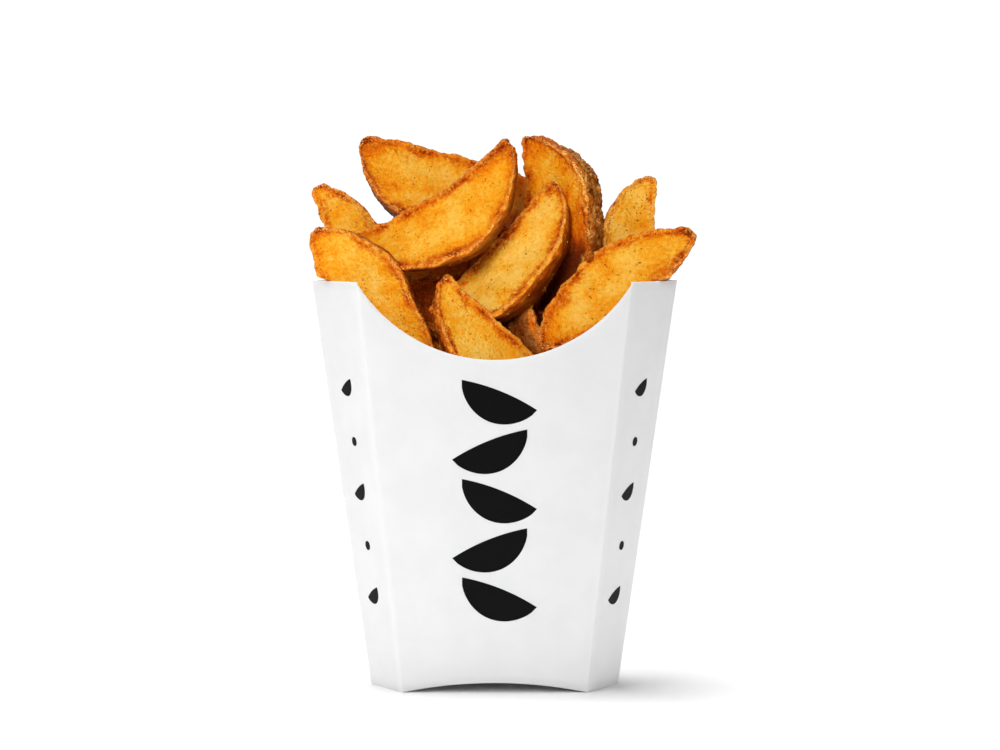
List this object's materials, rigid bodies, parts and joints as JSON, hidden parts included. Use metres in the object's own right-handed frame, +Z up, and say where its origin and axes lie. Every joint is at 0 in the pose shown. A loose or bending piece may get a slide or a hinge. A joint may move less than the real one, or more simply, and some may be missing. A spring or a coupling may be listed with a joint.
{
  "type": "potato wedges in a scoop carton",
  "caption": "Heap of fried potato wedges standing in a folded white paperboard scoop carton with a round cut front and bevelled sides.",
  "frame": {"origin": "centre of the whole part's footprint, on the surface that it stands on", "axes": "+Z up, -Y towards the front panel with the scoop, X across the carton"},
  "size_m": [0.1246, 0.052, 0.1809],
  "materials": {
    "board": "smooth white coated paperboard with black print",
    "potato": "golden fried potato with browned edges and rough skin"
  },
  "bodies": {
    "root": {"carton": "board", "wedges": "potato"}
  },
  "joints": []
}
